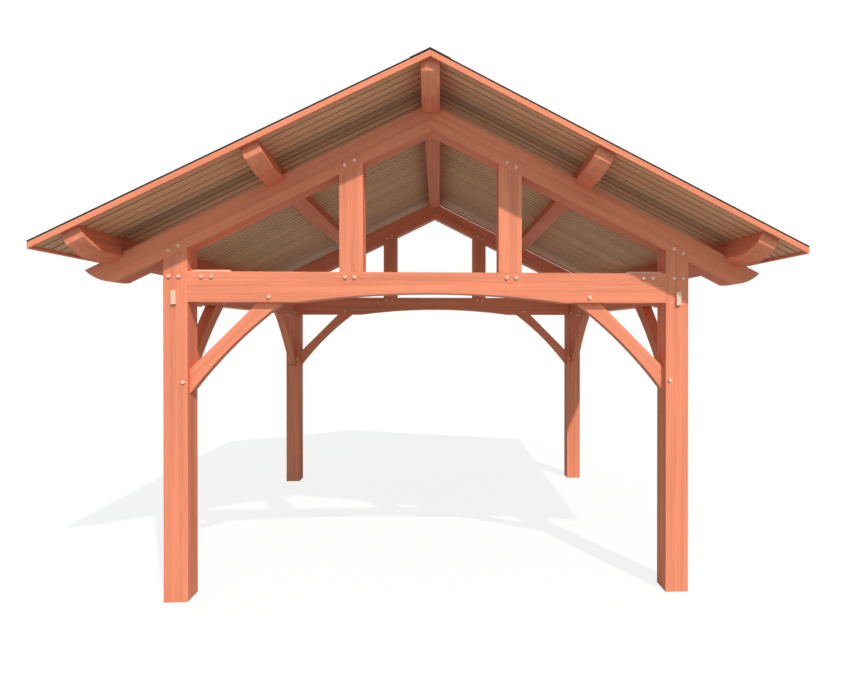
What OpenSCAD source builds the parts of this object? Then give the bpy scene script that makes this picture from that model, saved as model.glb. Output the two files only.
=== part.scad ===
// Open timber-frame garden gazebo. Two queen-post trusses stand on square posts.
// Side beams and knee braces tie them together, and a ridge beam and purlins
// carry a boarded gable roof with a thin shingle covering.
// The origin is on the ground, midway between the posts. +X runs across the
// gable, +Y from the front truss to the rear one, and +Z up. Sizes are in mm.

/* [Frame] */
// Width across the outer faces of the posts
frame_w = 4266; // [3800:1:4800]
// Length over the outer faces of the posts, front to rear
frame_l = 3868; // [3400:1:4400]
// Square section of the posts, queen posts and rafters' width
timber = 190; // [170:1:215]
// Height of the underside of the tie beams and side beams
beam_z = 2402; // [2250:1:2550]
// Depth of the tie beams and side beams
beam_d = 245; // [225:1:280]
// Rise of the curved underside in the middle of a tie beam
camber_rise = 74; // [40:1:95]
// Span of the curved underside of a tie beam
camber_span = 2160; // [1700:1:2300]
// Distance from the middle of the gable to the middle of a queen post
queen_x = 646; // [500:1:900]
// Width of the side beams
side_beam_w = 150; // [130:1:165]
// How far the side beams, with their splines and braces, lie outward of the posts' middle
side_shift = 9; // [0:1:12]

/* [Roof slope] */
// Rise of the roof over the pitch run
pitch_rise = 6; // [5:0.25:7]
// Level run that the rise of the roof is measured over
pitch_run = 12; // [11:0.25:13]
// Height of the rafters' underside over the middle of the posts
rafter_z = 2789; // [2760:1:3000]
// Depth of the rafters, square to the slope
rafter_d = 190; // [165:1:220]
// Distance from the posts' outer faces to the rafters' tips
tail_out = 606; // [500:1:700]
// Length of the curved cut at a rafter's tail, along the slope
tail_cut = 181; // [120:1:220]
// Radius of the curved cuts at the ends of rafters, purlins and ridge beam
end_r = 300; // [250:1:500]

/* [Purlins and ridge] */
// Width of the purlins
purlin_w = 140; // [110:1:170]
// Depth of the purlins, square to the slope
purlin_d = 184; // [150:1:210]
// Depth of the seats cut in the rafters for the purlins
purlin_seat = 34; // [20:1:60]
// Distance from the rafters' tips up the slope to the middle of the eave purlins
eave_purlin_in = 253; // [220:1:400]
// Height of a purlin's flat end face
purlin_face = 90; // [60:1:110]
// Length of the curved cut under a purlin's end
purlin_curve = 135; // [90:1:220]
// Width of the ridge beam
ridge_w = 140; // [110:1:170]
// Depth of the ridge beam at its middle
ridge_d = 246; // [210:1:290]
// Height of the ridge beam's flat end face, at its middle
ridge_face = 102; // [60:1:120]
// Length of the curved cut under the ridge beam's end
ridge_curve = 260; // [150:1:320]
// Distance from the rake boards' outer faces back to the ends of purlins and ridge
purlin_inset = 49; // [45:1:90]

/* [Roof cover] */
// Distance from the posts' outer faces to the rake boards' outer faces
gable_out = 490; // [420:1:600]
// Distance from the posts' outer faces to the eave fascias' outer faces
eave_out = 709; // [640:1:800]
// Thickness of the roof boards, square to the slope
deck_t = 26; // [19:1:50]
// Thickness of the rake boards and eave fascias
trim_t = 19; // [12:1:44]
// How far the rake boards and eave fascias hang below the roof boards
trim_hang = 15; // [0:1:20]
// Thickness of the shingle covering, square to the slope
roofing_t = 12; // [8:1:20]
// Width of the ridge cap on each slope, measured level
cap_w = 150; // [100:1:200]
// Thickness of the ridge cap, square to the slope
cap_t = 4; // [3:1:10]

/* [Knee braces] */
// Thickness of the knee braces
brace_t = 95; // [60:1:140]
// Distance from the corner to where a brace's upper edge meets post and beam
brace_leg = 539; // [400:1:650]
// Width of a brace's end where it lies against post or beam
brace_end = 200; // [150:1:240]
// Hollow of a brace's curved lower edge
brace_hollow = 38; // [15:1:50]

/* [Splines] */
// Thickness of the hardwood splines
spline_t = 38; // [30:1:60]
// Depth of the hardwood splines
spline_d = 111; // [80:1:120]
// Length of a spline along its beam, from the post
spline_len = 307; // [250:1:420]
// How far the splines stand proud of their beams' edges
spline_proud = 20; // [5:1:30]
// How far the side splines stand out from the posts' front and rear faces
spline_out = 20; // [10:1:60]

/* [Hidden] */
// Finish colours
timber_colour = [0.80, 0.45, 0.33];
deck_colour = [0.53, 0.39, 0.29];
spline_colour = [0.96, 0.80, 0.68];
roofing_colour = [0.10, 0.10, 0.11];
// Facets of each full circle
$fn = 360;
// Spare length of cutting shapes past the faces that they cut
spare = 3;

// Places of the posts, on the right and at the front
x_out = frame_w / 2;
x_in = x_out - timber;
x_mid = x_out - timber / 2;
side_mid = x_mid + side_shift;
y_out = -frame_l / 2;
y_in = y_out + timber;
y_mid = y_out + timber / 2;
beam_top = beam_z + beam_d;

// Circle of the tie beams' curved underside
camber_r = (pow(camber_span / 2, 2) + pow(camber_rise, 2)) / (2 * camber_rise);

// Roof planes, each given by its height in the middle of the gable
slope = pitch_rise / pitch_run;
pitch = atan(slope);
upright = 1 / cos(pitch);
rafter_low = rafter_z + slope * x_mid;
rafter_high = rafter_low + rafter_d * upright;
deck_low = rafter_high + (purlin_d - purlin_seat) * upright;
deck_high = deck_low + deck_t * upright;
roof_high = deck_high + roofing_t * upright;
cap_high = roof_high + cap_t * upright;
trim_low = deck_low - trim_hang * upright;

// Extent of the roof
roof_x = x_out + eave_out;
roof_y = frame_l / 2 + gable_out;
purlin_y = roof_y - purlin_inset;
ridge_z = deck_low - ridge_d;

// Directions down the right-hand slope and out of it
down = [cos(pitch), -sin(pitch)];
out = [sin(pitch), cos(pitch)];

// Rafter tail: its tip, the toe of its curve and the end of the uncut timber
tip_x = x_out + tail_out;
tip = [tip_x, rafter_high - slope * tip_x];
toe = tip - tail_cut * down - rafter_d * out;
blank_tip = tip + spare * down;
blank_foot = blank_tip - rafter_d * out;

// Distances of the purlins from the peak of the roof boards' underside, down the slope
eave_purlin_s = (tip - [0, deck_low]) * down - eave_purlin_in;
mid_purlin_s = (eave_purlin_s + ridge_w / 2) / 2;

// Knee brace: its reach from the corner, its uncut timber and the circle of its lower edge
brace_reach = brace_leg + brace_end;
brace_blank = brace_reach + spare;
brace_half_chord = brace_reach / sqrt(2);
brace_r = (pow(brace_half_chord, 2) + pow(brace_hollow, 2)) / (2 * brace_hollow);
brace_centre = (brace_half_chord - brace_hollow + brace_r) / sqrt(2);

// Height at x of a roof plane that has the given height in the middle
function plane_z(mid_z, x) = mid_z - slope * x;

// Centre of a circle through a and b that lies to the right of the way from a to b
function arc_centre(a, b, r) =
    let (d = b - a, half = norm(d) / 2, side = [d[1], -d[0]] / norm(d))
    (a + b) / 2 + side * sqrt(r * r - half * half);

// Extrudes an outline drawn in X and Z along Y
module along_y(y0, y1) {
    translate([0, y1, 0])
        rotate([90, 0, 0])
            linear_extrude(y1 - y0)
                children();
}

// Extrudes an outline drawn in Y and Z along X
module along_x(x0, x1) {
    translate([x0, 0, 0])
        rotate([90, 0, 90])
            linear_extrude(x1 - x0)
                children();
}

// Moves a right-hand piece to the left
module to_left() {
    mirror([1, 0, 0])
        children();
}

// Moves a front piece to the rear
module to_rear() {
    mirror([0, 1, 0])
        children();
}

// Wood outside the curved cut of an end, from a above it to b below it
module end_waste(a, b) {
    chord = (a - b) / norm(a - b);
    outward = [chord[1], -chord[0]];
    a_in = a + spare * (chord - outward);
    b_in = b - spare * (chord + outward);
    reach = (norm(a - b) + spare) * outward;
    difference() {
        polygon([a_in, b_in, b_in + reach, a_in + reach]);
        translate(arc_centre(a, b, end_r))
            circle(r = end_r);
    }
}

// Outline between two roof planes on the right-hand slope
module slope_band(low, high, x0, x1) {
    polygon([
        [x0, plane_z(low, x0)],
        [x1, plane_z(low, x1)],
        [x1, plane_z(high, x1)],
        [x0, plane_z(high, x0)]
    ]);
}

// Upright from z up to the rafters' underside
module upright_outline(x0, x1, z) {
    polygon([[x0, z], [x1, z], [x1, plane_z(rafter_low, x1)], [x0, plane_z(rafter_low, x0)]]);
}

// Moves a piece drawn at a purlin's top into place on the right-hand slope
module on_slope(s) {
    translate([s * down[0], 0, deck_low + s * down[1]])
        rotate([0, pitch, 0])
            children();
}

// Square timber that the seats of a purlin are cut to
module purlin_block(s) {
    on_slope(s)
        translate([-purlin_w / 2, -purlin_y, -purlin_d])
            cube([purlin_w, 2 * purlin_y, purlin_d]);
}

module purlin(s) {
    face_foot = [purlin_y, -purlin_face];
    curve_foot = [purlin_y - purlin_curve, -purlin_d];
    color(timber_colour)
        on_slope(s)
            along_x(-purlin_w / 2, purlin_w / 2)
                difference() {
                    translate([-purlin_y, -purlin_d])
                        square([2 * purlin_y, purlin_d]);
                    for (turn = [0, 1])
                        mirror([turn, 0])
                            end_waste(face_foot, curve_foot);
                }
}

module ridge_beam() {
    face_foot = [purlin_y, deck_low - ridge_face];
    curve_foot = [purlin_y - ridge_curve, ridge_z];
    half = ridge_w / 2;
    color(timber_colour)
        difference() {
            along_y(-purlin_y, purlin_y)
                polygon([
                    [-half, ridge_z],
                    [half, ridge_z],
                    [half, plane_z(deck_low, half)],
                    [0, deck_low],
                    [-half, plane_z(deck_low, half)]
                ]);
            for (turn = [0, 1])
                mirror([0, turn, 0])
                    along_x(-ridge_w, ridge_w)
                        end_waste(face_foot, curve_foot);
        }
}

// Seat for the ridge beam in the rafters' peak
module ridge_seat() {
    translate([-ridge_w / 2, -purlin_y, ridge_z])
        cube([ridge_w, 2 * purlin_y, ridge_d]);
}

// Spline that joins the right-hand end of the front tie beam to its post
module tie_spline() {
    translate([x_in - spline_len, y_mid - spline_t / 2, beam_top + spline_proud - spline_d])
        cube([spline_len + timber, spline_t, spline_d]);
}

// Spline that joins the front end of the right-hand side beam to its post
module side_spline() {
    translate([side_mid - spline_t / 2, y_out - spline_out, beam_z - spline_proud])
        cube([spline_t, spline_out + timber + spline_len, spline_d]);
}

module tie_splines() {
    color(spline_colour) {
        tie_spline();
        to_left()
            tie_spline();
    }
}

module side_splines() {
    color(spline_colour) {
        side_spline();
        to_rear()
            side_spline();
    }
}

module post() {
    color(timber_colour)
        difference() {
            along_y(y_out, y_in)
                upright_outline(x_in, x_out, 0);
            tie_spline();
            side_spline();
        }
}

module queen_post() {
    color(timber_colour)
        along_y(y_out, y_in)
            upright_outline(queen_x - timber / 2, queen_x + timber / 2, beam_top);
}

module tie_beam() {
    color(timber_colour)
        difference() {
            along_y(y_out, y_in)
                difference() {
                    translate([-x_in, beam_z])
                        square([2 * x_in, beam_d]);
                    translate([0, beam_z + camber_rise - camber_r])
                        circle(r = camber_r);
                }
            tie_spline();
            to_left()
                tie_spline();
        }
}

module side_beam() {
    color(timber_colour)
        difference() {
            translate([side_mid - side_beam_w / 2, y_in, beam_z])
                cube([side_beam_w, -2 * y_in, beam_d]);
            side_spline();
            to_rear()
                side_spline();
        }
}

module rafter() {
    color(timber_colour)
        difference() {
            along_y(y_out, y_in)
                difference() {
                    polygon([[0, rafter_low], blank_foot, blank_tip, [0, rafter_high]]);
                    end_waste(tip, toe);
                }
            ridge_seat();
            purlin_block(mid_purlin_s);
            purlin_block(eave_purlin_s);
        }
}

// Knee brace outline, with post and beam along the axes and the corner between them
module brace_outline() {
    difference() {
        polygon([[brace_leg, 0], [brace_blank, 0], [0, brace_blank], [0, brace_leg]]);
        translate([brace_centre, brace_centre])
            circle(r = brace_r);
    }
}

module truss_brace() {
    color(timber_colour)
        along_y(y_mid - brace_t / 2, y_mid + brace_t / 2)
            translate([x_in, beam_z])
                rotate(180)
                    brace_outline();
}

module side_brace() {
    color(timber_colour)
        along_x(side_mid - brace_t / 2, side_mid + brace_t / 2)
            translate([y_in, beam_z])
                mirror([0, 1])
                    brace_outline();
}

module roof_deck() {
    color(deck_colour)
        along_y(trim_t - roof_y, roof_y - trim_t)
            slope_band(deck_low, deck_high, 0, roof_x - trim_t);
}

module rake_board() {
    color(timber_colour)
        along_y(-roof_y, trim_t - roof_y)
            slope_band(trim_low, deck_high, 0, roof_x);
}

module eave_fascia() {
    color(timber_colour)
        along_y(trim_t - roof_y, roof_y - trim_t)
            slope_band(trim_low, deck_high, roof_x - trim_t, roof_x);
}

module roofing() {
    color(roofing_colour)
        along_y(-roof_y, roof_y)
            slope_band(deck_high, roof_high, 0, roof_x);
}

module ridge_cap() {
    color(roofing_colour)
        along_y(-roof_y, roof_y)
            polygon([
                [-cap_w, plane_z(roof_high, cap_w)],
                [0, roof_high],
                [cap_w, plane_z(roof_high, cap_w)],
                [cap_w, plane_z(cap_high, cap_w)],
                [0, cap_high],
                [-cap_w, plane_z(cap_high, cap_w)]
            ]);
}

to_left() post();  // front_left_post
post();  // front_right_post
to_rear() to_left() post();  // rear_left_post
to_rear() post();  // rear_right_post
tie_beam();  // front_tie_beam
to_rear() tie_beam();  // rear_tie_beam
to_left() side_beam();  // left_side_beam
side_beam();  // right_side_beam
to_left() rafter();  // front_left_rafter
rafter();  // front_right_rafter
to_rear() to_left() rafter();  // rear_left_rafter
to_rear() rafter();  // rear_right_rafter
to_left() queen_post();  // front_left_queen_post
queen_post();  // front_right_queen_post
to_rear() to_left() queen_post();  // rear_left_queen_post
to_rear() queen_post();  // rear_right_queen_post
to_left() truss_brace();  // front_left_truss_brace
truss_brace();  // front_right_truss_brace
to_rear() to_left() truss_brace();  // rear_left_truss_brace
to_rear() truss_brace();  // rear_right_truss_brace
to_left() side_brace();  // front_left_side_brace
side_brace();  // front_right_side_brace
to_rear() to_left() side_brace();  // rear_left_side_brace
to_rear() side_brace();  // rear_right_side_brace
tie_splines();  // front_tie_splines
to_rear() tie_splines();  // rear_tie_splines
to_left() side_splines();  // left_side_splines
side_splines();  // right_side_splines
ridge_beam();
to_left() purlin(mid_purlin_s);  // left_mid_purlin
purlin(mid_purlin_s);  // right_mid_purlin
to_left() purlin(eave_purlin_s);  // left_eave_purlin
purlin(eave_purlin_s);  // right_eave_purlin
to_left() roof_deck();  // left_roof_deck
roof_deck();  // right_roof_deck
to_left() rake_board();  // front_left_rake_board
rake_board();  // front_right_rake_board
to_rear() to_left() rake_board();  // rear_left_rake_board
to_rear() rake_board();  // rear_right_rake_board
to_left() eave_fascia();  // left_eave_fascia
eave_fascia();  // right_eave_fascia
to_left() roofing();  // left_roofing
roofing();  // right_roofing
ridge_cap();
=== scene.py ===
"""Dresses the timber-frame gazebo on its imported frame.

The posts, beams, rafters, braces, splines, rake boards and fascias keep their solids and
get eased edges and stained wood. Tongue-and-groove boards, laminated shingles, ridge
caps, metal roof edging and hardwood pegs are modelled here. All lengths are in metres,
in the frame of the solids.
"""

import math
import random

import bmesh
import bpy
from mathutils import Matrix, Vector


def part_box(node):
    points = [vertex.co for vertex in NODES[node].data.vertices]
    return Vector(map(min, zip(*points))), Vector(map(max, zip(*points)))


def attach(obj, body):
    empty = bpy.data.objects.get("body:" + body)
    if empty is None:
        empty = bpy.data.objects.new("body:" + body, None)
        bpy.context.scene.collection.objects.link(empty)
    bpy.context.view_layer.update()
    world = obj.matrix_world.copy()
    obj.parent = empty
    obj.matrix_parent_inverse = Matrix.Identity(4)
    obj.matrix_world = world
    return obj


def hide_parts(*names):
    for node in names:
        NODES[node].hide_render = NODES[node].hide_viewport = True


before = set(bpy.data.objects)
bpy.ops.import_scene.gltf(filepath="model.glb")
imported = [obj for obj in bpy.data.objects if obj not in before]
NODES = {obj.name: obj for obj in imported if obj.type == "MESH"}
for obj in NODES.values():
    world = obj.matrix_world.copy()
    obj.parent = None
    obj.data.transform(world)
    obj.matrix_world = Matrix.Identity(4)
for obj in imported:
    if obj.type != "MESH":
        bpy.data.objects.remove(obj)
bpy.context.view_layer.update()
BODY = "root"

# The camera, worked out from the photograph
PHOTO_WIDTH = 841
PHOTO_HEIGHT = 681
FOCAL_PIXELS = 572.8
CENTRE_PIXEL_X = 466.0
CENTRE_PIXEL_Y = 332.4
CAMERA_AT = (0.0667, -6.604, 2.1775)
CAMERA_YAW = -0.0463
CAMERA_PITCH = -0.0042
SENSOR_WIDTH = 36.0

# Light
SUN_TRAVEL = (-1.352, 2.60, -3.125)
SUN_STRENGTH = 3.40
SUN_COLOUR = (1.0, 0.95, 0.90)
SUN_ANGLE = math.radians(1.2)
FRONT_TRAVEL = (0.05, 1.0, -0.42)
FRONT_STRENGTH = 1.08
FRONT_COLOUR = (0.60, 1.0, 1.08)
FRONT_ANGLE = math.radians(70)
FILL_STRENGTH = 0.36
FILL_COLOUR = (1.0, 1.0, 1.0)
FLOOR_HALF = 60.0
FLOOR_COLOUR = (0.83, 0.855, 0.88)
FLOOR_BOUNCE = (0.40, 0.475, 0.485)
FLOOR_SHADOW = 0.16
WHITE = (1.0, 1.0, 1.0, 1.0)

# Finish colours, as linear red, green and blue
TIMBER_COLOUR = (0.775, 0.231, 0.126)
BOARD_COLOUR = (0.715, 0.385, 0.213)
HARDWOOD_COLOUR = (0.845, 0.515, 0.375)
SHINGLE_COLOUR = (0.030, 0.030, 0.033)
SHINGLE_WARM = (0.060, 0.052, 0.047)
EDGING_COLOUR = (0.014, 0.013, 0.013)

# Difference between the darkest and the middle tone of each wood
TIMBER_CONTRAST = 0.25
BOARD_CONTRAST = 0.26
HARDWOOD_CONTRAST = 0.12

# Distance between growth rings
TIMBER_RING = 0.007
BOARD_RING = 0.006
HARDWOOD_RING = 0.006
PEG_RING = 0.004

# Ranges of the pith's place from a piece's middle: along it, and across and up from it
GRAIN_SHIFT = (-3.0, 3.0)
TIMBER_PITH = ((-0.04, 0.04), (-0.04, 0.04))
TRIM_PITH = ((-0.03, 0.03), (0.08, 0.14))
SPLINE_PITH = ((0.05, 0.09), (0.06, 0.12))
BOARD_SHIFT = (0.0, 40.0)
BOARD_PITH = ((-0.03, 0.03), (0.05, 0.13))

# Figure of the wood; repeats are to the metre, along the grain, across it and up from it
WANDER_REPEATS = (0.9, 3.0, 3.0)
WANDER_REACH = (0.0, 0.035, 0.035)
STREAK_REPEATS = (0.45, 24.0, 24.0)
FIBRE_REPEATS = (7.0, 420.0, 420.0)
CLOUD_REPEATS = (1.3, 4.0, 4.0)
LATE_WOOD_POWER = 3.0

# Parts of a noise's range that become the full range of a tone
STREAK_RANGE = (0.3, 0.7)
FIBRE_RANGE = (0.35, 0.65)

# Shares of the figure in the wood's tone
STREAK_SHARE = 0.55
CLOUD_SHARE = 0.28
LATE_WOOD_SHARE = 0.16
FIBRE_SHARE = 0.10

# End grain and eased edges: how far a face turns to count, its share and its brightness
END_GRAIN_FACING = (0.75, 0.95)
END_GRAIN_SHARE = 0.15
END_GRAIN_LEVEL = 0.70
EDGE_FACING = (0.45, 0.6)
EDGE_SHARE = 0.4
EDGE_LEVEL = 1.10

# Surface of the wood
WOOD_ROUGHNESS = (0.74, 0.60)
WOOD_SPECULAR = 0.15
WOOD_BUMP = 0.35
WOOD_BUMP_DEPTH = 0.0012
FIBRE_HEIGHT = 0.6
LATE_WOOD_HEIGHT = 0.2

# Eased edges
TIMBER_EASE = 0.0015
TRIM_EASE = 0.0010
EASE_ANGLE = math.radians(40)
WELD_GAP = 0.00005

# Roof boards
BOARD_PITCH = 0.1023
BOARD_CHAMFER = 0.005
BOARD_GAP = 0.0020
BOARD_SLOT = 0.006
BOARD_TINTS = (0.95, 1.09)
# Share of the tint on the groove faces: painted shade in the grooves, with stain gathered there
GROOVE_PAINTED_SHADE = 0.34

# Shingles
COURSE_PITCH = 0.144
SHINGLE_LAP = 0.040
STRIP_LENGTH = 0.985
STRIP_SHORTEST = 0.10
STRIP_GAP = 0.0012
FIRST_STRIP = (0.2, 0.9)
STRIP_TINTS = (0.75, 1.15)
BASE_LIFT = 0.0085
HEAD_LIFT = 0.0045
TOOTH_LIFT = 0.0030
TOOTH_WIDTH = (0.09, 0.22)
TOOTH_SPACE = (0.05, 0.15)
TOOTH_TAPER = 0.006
TOOTH_TINTS = (0.9, 1.9)
CAP_PITCH = 0.143
CAP_LAP = 0.25
CAP_HEAD = 0.35
CAP_TINTS = (0.9, 1.6)

# Surface of the shingles
GRANULES_A_METRE = 520.0
GRANULE_LEVELS = (0.55, 1.6)
GRANULE_ROUGHNESS = 0.93
GRANULE_SPECULAR = 0.2
GRANULE_BUMP = 0.6
GRANULE_DEPTH = 0.0012
PATCH_REPEATS = (9.0, 9.0, 9.0)
PATCH_RANGE = (0.35, 0.65)

# Roof edging
EDGING_WIDTH = 0.014
EDGING_ROUND = 0.0015
EDGING_LEVELS = (0.8, 1.25)
EDGING_CLOUDS = (3.0, 40.0, 40.0)
EDGING_CLOUD_RANGE = (0.3, 0.7)
EDGING_ROUGHNESS = (0.55, 0.72)
EDGING_SPECULAR = 0.12
EDGING_RIPPLES = (2.0, 9.0, 9.0)
EDGING_BUMP = 0.2
EDGING_BUMP_DEPTH = 0.002

# Pegs
PEG_RADIUS = 0.0155
PEG_SIDES = 8
PEG_PROUD = 0.015
PEG_CHAMFER = 0.004
PEG_SPACING = 0.077
PEG_EDGE = 0.042
SIDE_PEG_EDGE = 0.027
PEG_OUTWARD = 0.010
SPLINE_PEG_IN = 0.151
BRACE_PEG = 0.641
BRACE_PEG_IN = 0.033
PEG_TINTS = (0.92, 1.06)
PEG_PITH = (0.03, 0.02)

RANDOM_SEED = 11

# How far a piece sinks into the one under it, and how near counts as the same place
TOUCH = 0.0005


# Places read from the frame

POST_LOW, POST_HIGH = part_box("front_right_post")
TIE_LOW, TIE_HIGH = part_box("front_tie_beam")
QUEEN_LOW, QUEEN_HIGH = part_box("front_right_queen_post")
SIDE_LOW, SIDE_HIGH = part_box("right_side_beam")


class RoofLayer:
    """A flat layer of the right-hand slope, between two parallel planes."""

    def __init__(self, node):
        corners = [v.co for v in NODES[node].data.vertices]
        ridge = [c.z for c in corners if abs(c.x) < TOUCH]
        self.low = min(ridge)
        self.high = max(ridge)
        self.reach = max(c.x for c in corners)
        self.front = min(c.y for c in corners)
        self.rear = max(c.y for c in corners)
        self.slope = (self.low - min(c.z for c in corners)) / self.reach
        self.pitch = math.atan(self.slope)
        self.length = self.reach / math.cos(self.pitch)
        self.thickness = (self.high - self.low) * math.cos(self.pitch)

    def point(self, side, x, y, lift):
        """Point above the lower plane; lift is measured upright and side is 1 or -1."""
        return Vector((side * x, y, self.low - self.slope * x + lift))


DECK = RoofLayer("right_roof_deck")
ROOFING = RoofLayer("right_roofing")
UPRIGHT = 1 / math.cos(DECK.pitch)


# Node graphs of the materials


class Graph:
    """A material and short ways to add nodes to it."""

    def __init__(self, name):
        self.material = bpy.data.materials.new(name)
        self.material.use_nodes = True
        self.tree = self.material.node_tree
        self.tree.nodes.clear()

    def feed(self, socket, value):
        if isinstance(value, bpy.types.NodeSocket):
            self.tree.links.new(value, socket)
        else:
            socket.default_value = value

    def add(self, kind, inputs=None, **settings):
        node = self.tree.nodes.new(kind)
        for key, value in settings.items():
            setattr(node, key, value)
        for key, value in (inputs or {}).items():
            self.feed(node.inputs[key], value)
        return node

    def math(self, operation, a, b=0.0, clamp=False):
        inputs = {0: a, 1: b}
        return self.add("ShaderNodeMath", inputs, operation=operation, use_clamp=clamp).outputs[0]

    def vector(self, operation, a, b=(0.0, 0.0, 0.0), out="Vector"):
        return self.add("ShaderNodeVectorMath", {0: a, 1: b}, operation=operation).outputs[out]

    def noise(self, at, stretch, detail=2.0, roughness=0.5, out="Fac"):
        """Noise of one unit size on a point that is first scaled along its axes."""
        point = self.vector("MULTIPLY", at, stretch)
        inputs = {"Vector": point, "Scale": 1.0, "Detail": detail, "Roughness": roughness}
        return self.add("ShaderNodeTexNoise", inputs).outputs[out]

    def ramp(self, value, across, to=(0.0, 1.0)):
        """Takes one range of a value to another, and holds it beyond the ends."""
        inputs = {"Value": value, 1: across[0], 2: across[1], 3: to[0], 4: to[1]}
        return self.add("ShaderNodeMapRange", inputs).outputs[0]

    def mix(self, factor, a, b, mode="MIX"):
        node = self.add("ShaderNodeMix", {0: factor, 6: a, 7: b}, data_type="RGBA", blend_type=mode)
        return node.outputs[2]

    def split(self, vector):
        return self.add("ShaderNodeSeparateXYZ", {0: vector}).outputs

    def attribute(self, name):
        return self.add("ShaderNodeAttribute", attribute_name=name)

    def bump(self, height, strength, depth):
        inputs = {"Height": height, "Strength": strength, "Distance": depth}
        return self.add("ShaderNodeBump", inputs).outputs[0]

    def principled(self, colour, roughness, specular, normal):
        inputs = {"Base Color": colour, "Roughness": roughness, "Normal": normal}
        inputs["Specular IOR Level"] = specular
        return self.add("ShaderNodeBsdfPrincipled", inputs)

    def surface(self, shader):
        out = self.add("ShaderNodeOutputMaterial")
        self.tree.links.new(shader.outputs[0], out.inputs["Surface"])
        return self.material


def scaled(colour, factor):
    return tuple(c * factor for c in colour) + (1.0,)


def wood(graph, at, colour, ring_gap, contrast, tint=None, end_grain=None, edge=None):
    """Stained wood on a point whose X runs along the grain and whose X axis is the pith."""
    wander = graph.noise(at, WANDER_REPEATS, out="Color")
    wander = graph.vector("SUBTRACT", wander, (0.5, 0.5, 0.5))
    wander = graph.vector("MULTIPLY", wander, WANDER_REACH)
    bent = graph.vector("ADD", at, wander)
    across = graph.vector("MULTIPLY", bent, (0.0, 1.0, 1.0))
    radius = graph.vector("LENGTH", across, out="Value")
    ring = graph.math("FRACT", graph.math("DIVIDE", radius, ring_gap))
    late_wood = graph.math("POWER", ring, LATE_WOOD_POWER)
    streak = graph.noise(at, STREAK_REPEATS, detail=3.0, roughness=0.55)
    fibre = graph.noise(at, FIBRE_REPEATS, roughness=0.6)
    cloud = graph.noise(at, CLOUD_REPEATS, detail=1.0)

    tone = graph.math("MULTIPLY", graph.ramp(streak, STREAK_RANGE), STREAK_SHARE)
    tone = graph.math("ADD", tone, graph.math("MULTIPLY", cloud, CLOUD_SHARE))
    tone = graph.math("SUBTRACT", tone, graph.math("MULTIPLY", late_wood, LATE_WOOD_SHARE))
    fleck = graph.ramp(fibre, FIBRE_RANGE, (-FIBRE_SHARE, FIBRE_SHARE))
    tone = graph.math("ADD", tone, fleck, clamp=True)
    dark = scaled(colour, 1.0 - contrast)
    light = scaled(colour, 1.0 + contrast)
    shade = graph.mix(tone, dark, light)
    if tint is not None:
        shade = graph.mix(1.0, shade, tint, "MULTIPLY")
    if end_grain is not None:
        share = graph.math("MULTIPLY", end_grain, END_GRAIN_SHARE)
        shade = graph.mix(share, shade, scaled(colour, END_GRAIN_LEVEL))
    if edge is not None:
        share = graph.math("MULTIPLY", edge, EDGE_SHARE)
        shade = graph.mix(share, shade, scaled(colour, EDGE_LEVEL))

    rough = graph.ramp(streak, STREAK_RANGE, WOOD_ROUGHNESS)
    height = graph.math("MULTIPLY", fibre, FIBRE_HEIGHT)
    height = graph.math("ADD", height, graph.math("MULTIPLY", late_wood, LATE_WOOD_HEIGHT))
    normal = graph.bump(height, WOOD_BUMP, WOOD_BUMP_DEPTH)
    return graph.principled(shade, rough, WOOD_SPECULAR, normal)


def axes_of(node):
    """Directions along a timber, and out of its upper face."""
    side = -1 if "left" in node else 1
    end = -1 if "front" in node else 1
    slope_along = Vector((side * math.cos(DECK.pitch), 0, -math.sin(DECK.pitch)))
    slope_up = Vector((side * math.sin(DECK.pitch), 0, math.cos(DECK.pitch)))
    if "post" in node:
        return Vector((0, 0, 1)), Vector((1, 0, 0))
    if "tie" in node:
        return Vector((1, 0, 0)), Vector((0, 0, 1))
    if "purlin" in node:
        return Vector((0, 1, 0)), slope_up
    if "rafter" in node or "rake" in node:
        return slope_along, slope_up
    if "truss_brace" in node:
        return Vector((-side, 0, 1)).normalized(), Vector((side, 0, 1)).normalized()
    if "side_brace" in node:
        return Vector((0, -end, 1)).normalized(), Vector((0, end, 1)).normalized()
    return Vector((0, 1, 0)), Vector((0, 0, 1))


def timber_material(node, colour, ring_gap, contrast, pith):
    """Wood that follows one timber, with its pith at an offset from the timber's middle."""
    along, up = axes_of(node)
    turn = Matrix((along, up.cross(along), up)).transposed()
    low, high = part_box(node)
    centre = (low + high) / 2 + turn @ Vector(pith)
    graph = Graph(node)
    coords = graph.add("ShaderNodeTexCoord").outputs["Object"]
    inputs = {"Vector": coords, "Location": centre, "Rotation": turn.to_euler()}
    at = graph.add("ShaderNodeMapping", inputs, vector_type="TEXTURE").outputs[0]
    facing = graph.add("ShaderNodeNewGeometry").outputs["True Normal"]
    inputs = {"Vector": facing, "Rotation": turn.to_euler()}
    facing = graph.add("ShaderNodeMapping", inputs, vector_type="TEXTURE").outputs[0]
    lengthwise, sideways, upward = graph.split(graph.vector("ABSOLUTE", facing))
    end_grain = graph.ramp(lengthwise, END_GRAIN_FACING)
    edge = graph.ramp(graph.math("MINIMUM", sideways, upward), EDGE_FACING)
    shader = wood(graph, at, colour, ring_gap, contrast, end_grain=end_grain, edge=edge)
    return graph.surface(shader)


def piece_wood_material(name, colour, ring_gap, contrast):
    """Wood for the pieces made here, which carry their own grain coordinates and tints."""
    graph = Graph(name)
    at = graph.attribute("grain").outputs["Vector"]
    tint = graph.attribute("tint").outputs["Fac"]
    tint = graph.add("ShaderNodeCombineColor", {0: tint, 1: tint, 2: tint}).outputs[0]
    return graph.surface(wood(graph, at, colour, ring_gap, contrast, tint))


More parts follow.
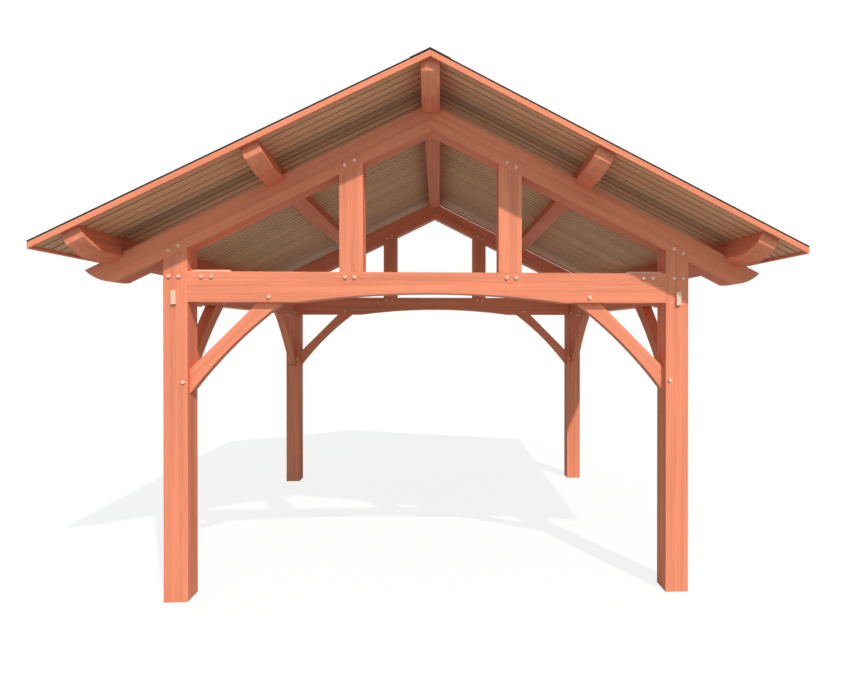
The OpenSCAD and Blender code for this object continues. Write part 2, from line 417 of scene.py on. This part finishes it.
def shingle_material():
    """Mineral granules in a blend of charcoals, with a level of their own on each piece."""
    graph = Graph("shingle_granules")
    at = graph.attribute("grain").outputs["Vector"]
    tint = graph.attribute("tint").outputs["Fac"]
    granule = graph.add("ShaderNodeTexVoronoi", {"Vector": at, "Scale": GRANULES_A_METRE}).outputs
    speck = graph.split(granule["Color"])[0]
    patch = graph.noise(at, PATCH_REPEATS, detail=3.0, roughness=0.6)
    warmth = graph.ramp(patch, PATCH_RANGE)
    shade = graph.mix(warmth, scaled(SHINGLE_COLOUR, 1.0), scaled(SHINGLE_WARM, 1.0))
    level = graph.math("MULTIPLY", tint, graph.ramp(speck, (0.0, 1.0), GRANULE_LEVELS))
    level = graph.add("ShaderNodeCombineColor", {0: level, 1: level, 2: level}).outputs[0]
    shade = graph.mix(1.0, shade, level, "MULTIPLY")
    normal = graph.bump(granule["Distance"], GRANULE_BUMP, GRANULE_DEPTH)
    return graph.surface(graph.principled(shade, GRANULE_ROUGHNESS, GRANULE_SPECULAR, normal))


def edging_material():
    """Dark painted metal, a little uneven in sheen."""
    graph = Graph("edging_paint")
    at = graph.attribute("grain").outputs["Vector"]
    cloud = graph.noise(at, EDGING_CLOUDS, detail=3.0, roughness=0.6)
    dark, light = [scaled(EDGING_COLOUR, level) for level in EDGING_LEVELS]
    shade = graph.mix(cloud, dark, light)
    rough = graph.ramp(cloud, EDGING_CLOUD_RANGE, EDGING_ROUGHNESS)
    ripple = graph.noise(at, EDGING_RIPPLES)
    normal = graph.bump(ripple, EDGING_BUMP, EDGING_BUMP_DEPTH)
    return graph.surface(graph.principled(shade, rough, EDGING_SPECULAR, normal))


# The timbers keep their solids


def ease_edges(node, width):
    """Planes a small chamfer along the edges of a timber."""
    weld = NODES[node].modifiers.new("weld", "WELD")
    weld.merge_threshold = WELD_GAP
    ease = NODES[node].modifiers.new("ease", "BEVEL")
    ease.width = width
    ease.segments = 1
    ease.limit_method = "ANGLE"
    ease.angle_limit = EASE_ANGLE
    ease.use_clamp_overlap = True


def dress(node, material, ease):
    """Gives a timber its finish and eases its edges."""
    slots = NODES[node].data.materials
    slots.clear()
    slots.append(material)
    ease_edges(node, ease)


def pith_place(chance, shift, ranges):
    """Place of the pith from a timber's middle: along it, and across and up from it."""
    across, upward = ranges
    return shift, chance.uniform(*across), chance.uniform(*upward)


def dress_timbers():
    """Dresses each timber in wood of its own; the roof's layers are replaced by pieces."""
    chance = random.Random(RANDOM_SEED)
    for node in NODES:
        shift = chance.uniform(*GRAIN_SHIFT)
        if "spline" in node:
            pith = pith_place(chance, shift, SPLINE_PITH)
            material = timber_material(node, HARDWOOD_COLOUR, HARDWOOD_RING, HARDWOOD_CONTRAST, pith)
            dress(node, material, TRIM_EASE)
        elif "rake" in node or "fascia" in node:
            pith = pith_place(chance, shift, TRIM_PITH)
            material = timber_material(node, TIMBER_COLOUR, TIMBER_RING, TIMBER_CONTRAST, pith)
            dress(node, material, TRIM_EASE)
        elif "roof" not in node and "cap" not in node:
            pith = pith_place(chance, shift, TIMBER_PITH)
            material = timber_material(node, TIMBER_COLOUR, TIMBER_RING, TIMBER_CONTRAST, pith)
            dress(node, material, TIMBER_EASE)


# Pieces made as joined meshes


class Solids:
    """Closed solids joined into one mesh, each with a tint and grain coordinates."""

    def __init__(self):
        self.points = []
        self.grain = []
        self.faces = []
        self.tints = []

    def loft(self, rings, tint, grain, side_tints=None):
        """Adds a solid through outlines of equal length; grain turns a point into coordinates.

        side_tints gives each side of the outline, in order, its share of the tint.
        """
        first = len(self.points)
        count = len(rings[0])
        for ring in rings:
            self.points += ring
            self.grain += [grain(p) for p in ring]
        last = first + count * (len(rings) - 1)
        made = [[first + i for i in reversed(range(count))], [last + i for i in range(count)]]
        for row in range(len(rings) - 1):
            base = first + count * row
            for i in range(count):
                j = (i + 1) % count
                made.append([base + i, base + j, base + count + j, base + count + i])
        self.faces += made
        shares = side_tints or [1.0] * count
        self.tints += [tint, tint] + [tint * share for share in shares] * (len(rings) - 1)

    def build(self, name, material, replaced=()):
        mesh = bpy.data.meshes.new(name)
        mesh.from_pydata(self.points, [], self.faces)
        grain = mesh.attributes.new("grain", "FLOAT_VECTOR", "POINT")
        grain.data.foreach_set("vector", [c for g in self.grain for c in g])
        tint = mesh.attributes.new("tint", "FLOAT", "FACE")
        tint.data.foreach_set("value", self.tints)
        work = bmesh.new()
        work.from_mesh(mesh)
        bmesh.ops.recalc_face_normals(work, faces=work.faces)
        work.to_mesh(mesh)
        work.free()
        mesh.materials.append(material)
        piece = bpy.data.objects.new(name, mesh)
        bpy.context.scene.collection.objects.link(piece)
        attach(piece, BODY)
        if replaced:
            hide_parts(*replaced)
        return piece


def board_outline(y0, y1, height):
    """Section of a board: chamfered lower edges, a narrow slot, and full width above."""
    slot_top = BOARD_CHAMFER + BOARD_SLOT
    half = [
        (y0 + BOARD_GAP + BOARD_CHAMFER, 0.0),
        (y0 + BOARD_GAP, BOARD_CHAMFER),
        (y0 + BOARD_GAP, slot_top),
        (y0, slot_top),
        (y0, height),
    ]
    return half + [(y0 + y1 - y, lift) for y, lift in reversed(half)]


def board_tints_and_groove_shade():
    """Shares of a board's tint round its section, darker in the grooves: painted shade, with stain
    gathered there.
    """
    groove = [GROOVE_PAINTED_SHADE] * 4
    return groove + [1.0] + groove + [1.0]


def roof_boards(word, side, material, chance):
    """Tongue-and-groove boards that run down one slope."""
    boards = Solids()
    count = round((DECK.rear - DECK.front) / BOARD_PITCH)
    width = (DECK.rear - DECK.front) / count
    for i in range(count):
        y0 = DECK.front + i * width
        middle = y0 + width / 2
        outline = board_outline(y0, y0 + width, DECK.high - DECK.low)
        rings = [[DECK.point(side, x, y, lift) for y, lift in outline] for x in (0.0, DECK.reach)]
        start, across, depth = pith_place(chance, chance.uniform(*BOARD_SHIFT), BOARD_PITH)

        def grain(p):
            along = abs(p.x) * UPRIGHT + start
            up = (p.z - DECK.low) / UPRIGHT + abs(p.x) * math.sin(DECK.pitch)
            return along, p.y - middle + across, up + depth

        boards.loft(rings, chance.uniform(*BOARD_TINTS), grain, board_tints_and_groove_shade())
    boards.build(f"{word}_roof_boards", material, [f"{word}_roof_deck"])


COURSES = round(ROOFING.length / COURSE_PITCH)
COURSE = ROOFING.length / COURSES
SHINGLE_FRONT = ROOFING.front + EDGING_WIDTH
SHINGLE_REAR = ROOFING.rear - EDGING_WIDTH
BASE_AT_LAP = BASE_LIFT - (BASE_LIFT - HEAD_LIFT) * COURSE / (COURSE + SHINGLE_LAP)


def on_roof(side, up_slope, y, lift):
    """Point on the roof, at a distance up the slope from the eave and a lift square to it."""
    x = max(0.0, (ROOFING.length - up_slope) * math.cos(ROOFING.pitch))
    return ROOFING.point(side, x, y, lift * UPRIGHT)


def strip_section(foot, rest):
    """Side view of a shingle strip, as distances up the slope from the eave and lifts."""
    head = foot + COURSE + SHINGLE_LAP
    return [
        (foot, rest),
        (foot, BASE_LIFT),
        (head, HEAD_LIFT),
        (head, 0.0),
        (foot + SHINGLE_LAP, 0.0),
        (foot + SHINGLE_LAP, HEAD_LIFT),
    ]


def add_strips(cover, side, foot, chance):
    """Base strips of one course, end to end."""
    section = strip_section(foot, BASE_AT_LAP if foot > 0 else 0.0)
    y0 = SHINGLE_FRONT
    y1 = y0 + chance.uniform(*FIRST_STRIP) * STRIP_LENGTH
    while y0 < SHINGLE_REAR:
        if SHINGLE_REAR - y1 < STRIP_SHORTEST:
            y1 = SHINGLE_REAR
        rings = [[on_roof(side, s, y, lift) for s, lift in section] for y in (y0, y1 - STRIP_GAP)]
        cover.loft(rings, chance.uniform(*STRIP_TINTS), tuple)
        y0 = y1
        y1 = y0 + STRIP_LENGTH


def add_teeth(cover, side, foot, chance):
    """Thicker tabs on one course, narrower at the butt than at the head."""
    head = foot + COURSE
    y0 = SHINGLE_FRONT
    while y0 + TOOTH_WIDTH[0] < SHINGLE_REAR:
        y1 = min(y0 + chance.uniform(*TOOTH_WIDTH), SHINGLE_REAR)
        corners = [
            (foot, y0 + TOOTH_TAPER, BASE_LIFT),
            (foot, y1 - TOOTH_TAPER, BASE_LIFT),
            (head, y1, BASE_AT_LAP),
            (head, y0, BASE_AT_LAP),
        ]
        rings = []
        for rise in (-TOUCH, TOOTH_LIFT):
            rings.append([on_roof(side, s, y, base + rise) for s, y, base in corners])
        cover.loft(rings, chance.uniform(*TOOTH_TINTS), tuple)
        y0 = y1 + chance.uniform(*TOOTH_SPACE)


def shingles(word, side, material, chance):
    """Courses of laminated shingles: base strips with thicker teeth on them."""
    cover = Solids()
    for course in range(COURSES):
        add_strips(cover, side, course * COURSE, chance)
        add_teeth(cover, side, course * COURSE, chance)
    cover.build(f"{word}_shingles", material, [f"{word}_roofing"])


def roof_edging(word, side, material):
    """Dark metal edging that closes the shingles' ends along both rakes of a slope."""
    edging = Solids()
    top = ROOFING.thickness
    section = [
        (0.0, 0.0),
        (0.0, top - EDGING_ROUND),
        (EDGING_ROUND, top),
        (EDGING_WIDTH, top),
        (EDGING_WIDTH, 0.0),
    ]
    for rake, inward in ((ROOFING.front, 1), (ROOFING.rear, -1)):
        ends = (0.0, ROOFING.length)
        rings = [[on_roof(side, s, rake + inward * y, lift) for y, lift in section] for s in ends]
        edging.loft(rings, 1.0, tuple)
    edging.build(f"{word}_roof_edging", material)


def ridge_caps(material, chance):
    """Cap shingles bent over the ridge, each lapped by the next."""
    caps = Solids()
    low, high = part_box("ridge_cap")
    half = high.x
    thick = high.z - ROOFING.high
    count = round((high.y - low.y) / CAP_PITCH)
    step = (high.y - low.y) / count
    lap = step * CAP_LAP

    def bent(y, lift):
        """Bent section of a cap at one place along the ridge; lift is upright, over the shingles."""
        foot = ROOFING.high - ROOFING.slope * half
        return [
            Vector((-half, y, foot - TOUCH)),
            Vector((0.0, y, ROOFING.high - TOUCH)),
            Vector((half, y, foot - TOUCH)),
            Vector((half, y, foot + lift)),
            Vector((0.0, y, ROOFING.high + lift)),
            Vector((-half, y, foot + lift)),
        ]

    for i in range(count):
        y0 = low.y + i * step
        y1 = min(y0 + step + lap, high.y)
        rings = [bent(y0, thick), bent(y1, thick * CAP_HEAD)]
        caps.loft(rings, chance.uniform(*CAP_TINTS), tuple)
    caps.build("ridge_cap_shingles", material, ["ridge_cap"])


def add_peg(pegs, centre, axis, half, tint):
    """Eight-sided peg right through a timber, with chamfered ends."""
    across = Vector((0, 0, 1))
    beside = across.cross(axis)
    ends = ((-half, PEG_RADIUS - PEG_CHAMFER), (-half + PEG_CHAMFER, PEG_RADIUS))
    stations = list(ends) + [(-along, radius) for along, radius in reversed(ends)]
    rings = []
    for along, radius in stations:
        ring = []
        for k in range(PEG_SIDES):
            turn = 2 * math.pi * (k + 0.5) / PEG_SIDES
            outward = math.cos(turn) * beside + math.sin(turn) * across
            ring.append(centre + along * axis + radius * outward)
        rings.append(ring)

    def grain(p):
        away = p - centre
        aside, upward = PEG_PITH
        return away.dot(axis) + centre.x, away.dot(beside) + aside, away.dot(across) + upward

    pegs.loft(rings, tint, grain)


def truss_peg_places():
    """Places in X and Z of the pegs on the right-hand half of a truss."""
    post_middle = (POST_LOW.x + POST_HIGH.x) / 2 + PEG_OUTWARD
    queen_middle = (QUEEN_LOW.x + QUEEN_HIGH.x) / 2 + PEG_OUTWARD
    beam_z = TIE_HIGH.z - PEG_EDGE
    rafter_low = POST_HIGH.z + DECK.slope * POST_LOW.x
    places = []
    for middle in (post_middle, queen_middle):
        for x in (middle - PEG_SPACING / 2, middle + PEG_SPACING / 2):
            places.append((x, beam_z))
            places.append((x, rafter_low - DECK.slope * x + PEG_EDGE * UPRIGHT))
    for x in (-PEG_SPACING / 2, PEG_SPACING / 2):
        places.append((POST_LOW.x - SPLINE_PEG_IN + x, beam_z))
    places.append((POST_LOW.x - BRACE_PEG, TIE_LOW.z + PEG_EDGE))
    places.append((POST_LOW.x + BRACE_PEG_IN, TIE_LOW.z - BRACE_PEG))
    return places


def side_peg_places():
    """Places in Y on the front half of a side: of the pegs in the post, and of those in the beam."""
    post_middle = (POST_LOW.y + POST_HIGH.y) / 2 - PEG_OUTWARD
    spline_middle = POST_HIGH.y + SPLINE_PEG_IN
    pair = (-PEG_SPACING / 2, PEG_SPACING / 2)
    in_post = [post_middle + y for y in pair]
    in_beam = [spline_middle + y for y in pair] + [POST_HIGH.y + BRACE_PEG]
    return in_post, in_beam


def truss_pegs(word, end, material, chance):
    """Pegs that run through the timbers of one truss from front to rear."""
    pegs = Solids()
    middle = (POST_LOW.y + POST_HIGH.y) / 2
    half = (POST_HIGH.y - POST_LOW.y) / 2 + PEG_PROUD
    for x, z in truss_peg_places():
        for side in (-1, 1):
            centre = Vector((side * x, end * middle, z))
            add_peg(pegs, centre, Vector((0, 1, 0)), half, chance.uniform(*PEG_TINTS))
    pegs.build(f"{word}_truss_pegs", material)


def side_pegs(word, side, material, chance):
    """Pegs that run through the posts and the beam of one side, from inside to outside."""
    pegs = Solids()
    timbers = ((POST_LOW, POST_HIGH), (SIDE_LOW, SIDE_HIGH))
    for (low, high), places in zip(timbers, side_peg_places()):
        middle = (low.x + high.x) / 2
        half = (high.x - low.x) / 2 + PEG_PROUD
        for y in places:
            for end in (1, -1):
                centre = Vector((side * middle, end * y, SIDE_LOW.z + SIDE_PEG_EDGE))
                add_peg(pegs, centre, Vector((1, 0, 0)), half, chance.uniform(*PEG_TINTS))
    pegs.build(f"{word}_side_pegs", material)


def all_pegs():
    chance = random.Random(RANDOM_SEED + 2)
    material = piece_wood_material("peg_wood", HARDWOOD_COLOUR, PEG_RING, HARDWOOD_CONTRAST)
    for word, end in (("front", 1), ("rear", -1)):
        truss_pegs(word, end, material, chance)
    for word, side in (("left", -1), ("right", 1)):
        side_pegs(word, side, material, chance)


# Floor, light and camera


def shown_directly(graph):
    """1 for rays that come from the camera, straight or by way of gloss or glass."""
    path = graph.add("ShaderNodeLightPath").outputs
    seen = graph.math("MAXIMUM", path["Is Camera Ray"], path["Is Glossy Ray"])
    return graph.math("MAXIMUM", seen, path["Is Transmission Ray"])


class WorldGraph(Graph):
    """The same short ways, for the world."""

    def __init__(self):
        world = bpy.data.worlds.new("studio")
        world.use_nodes = True
        bpy.context.scene.world = world
        self.tree = world.node_tree
        self.tree.nodes.clear()


def white_world():
    graph = WorldGraph()
    fill = graph.add("ShaderNodeBackground", {"Color": FILL_COLOUR + (1.0,), "Strength": FILL_STRENGTH})
    white = graph.add("ShaderNodeBackground", {"Color": WHITE, "Strength": 1.0})
    either = graph.add(
        "ShaderNodeMixShader",
        {0: shown_directly(graph), 1: fill.outputs[0], 2: white.outputs[0]},
    )
    out = graph.add("ShaderNodeOutputWorld")
    graph.tree.links.new(either.outputs[0], out.inputs["Surface"])


def pale_floor():
    """White where the sun falls on it, with a light shadow of the object."""
    graph = Graph("floor")
    seen = shown_directly(graph)
    colour = graph.mix(seen, FLOOR_BOUNCE + (1.0,), FLOOR_COLOUR + (1.0,))
    plain = graph.add("ShaderNodeBsdfDiffuse", {"Color": colour})
    white = graph.add("ShaderNodeEmission", {"Color": WHITE, "Strength": 1.0})
    glow = graph.math("MULTIPLY", seen, 1.0 - FLOOR_SHADOW)
    either = graph.add("ShaderNodeMixShader", {0: glow, 1: plain.outputs[0], 2: white.outputs[0]})
    material = graph.surface(either)
    mesh = bpy.data.meshes.new("floor")
    h = FLOOR_HALF
    mesh.from_pydata([(-h, -h, 0), (h, -h, 0), (h, h, 0), (-h, h, 0)], [], [(0, 1, 2, 3)])
    mesh.materials.append(material)
    floor = bpy.data.objects.new("floor", mesh)
    bpy.context.scene.collection.objects.link(floor)


def far_light(name, travel, strength, colour, angle):
    """A far lamp whose light travels along a direction; a wide angle makes it soft."""
    lamp = bpy.data.lights.new(name, "SUN")
    lamp.energy = strength
    lamp.color = colour
    lamp.angle = angle
    light = bpy.data.objects.new(name, lamp)
    light.rotation_euler = Vector(travel).to_track_quat("-Z", "Y").to_euler()
    bpy.context.scene.collection.objects.link(light)


def photo_camera():
    lens = bpy.data.cameras.new("camera")
    lens.sensor_fit = "HORIZONTAL"
    lens.sensor_width = SENSOR_WIDTH
    lens.lens = FOCAL_PIXELS / PHOTO_WIDTH * SENSOR_WIDTH
    lens.shift_x = (PHOTO_WIDTH / 2 - CENTRE_PIXEL_X) / PHOTO_WIDTH
    lens.shift_y = (CENTRE_PIXEL_Y - PHOTO_HEIGHT / 2) / PHOTO_WIDTH
    camera = bpy.data.objects.new("camera", lens)
    camera.location = CAMERA_AT
    camera.rotation_euler = (math.pi / 2 + CAMERA_PITCH, 0.0, CAMERA_YAW)
    bpy.context.scene.collection.objects.link(camera)
    bpy.context.scene.camera = camera


def dress_roof():
    chance = random.Random(RANDOM_SEED + 1)
    board_wood = piece_wood_material("roof_board_wood", BOARD_COLOUR, BOARD_RING, BOARD_CONTRAST)
    granules = shingle_material()
    paint = edging_material()
    for word, side in (("left", -1), ("right", 1)):
        roof_boards(word, side, board_wood, chance)
        shingles(word, side, granules, chance)
        roof_edging(word, side, paint)
    ridge_caps(granules, chance)


photo_camera()
white_world()
far_light("sun", SUN_TRAVEL, SUN_STRENGTH, SUN_COLOUR, SUN_ANGLE)
far_light("front_light", FRONT_TRAVEL, FRONT_STRENGTH, FRONT_COLOUR, FRONT_ANGLE)
pale_floor()
dress_timbers()
dress_roof()
all_pegs()

bpy.context.scene.view_settings.view_transform = "Standard"
bpy.context.view_layer.update()
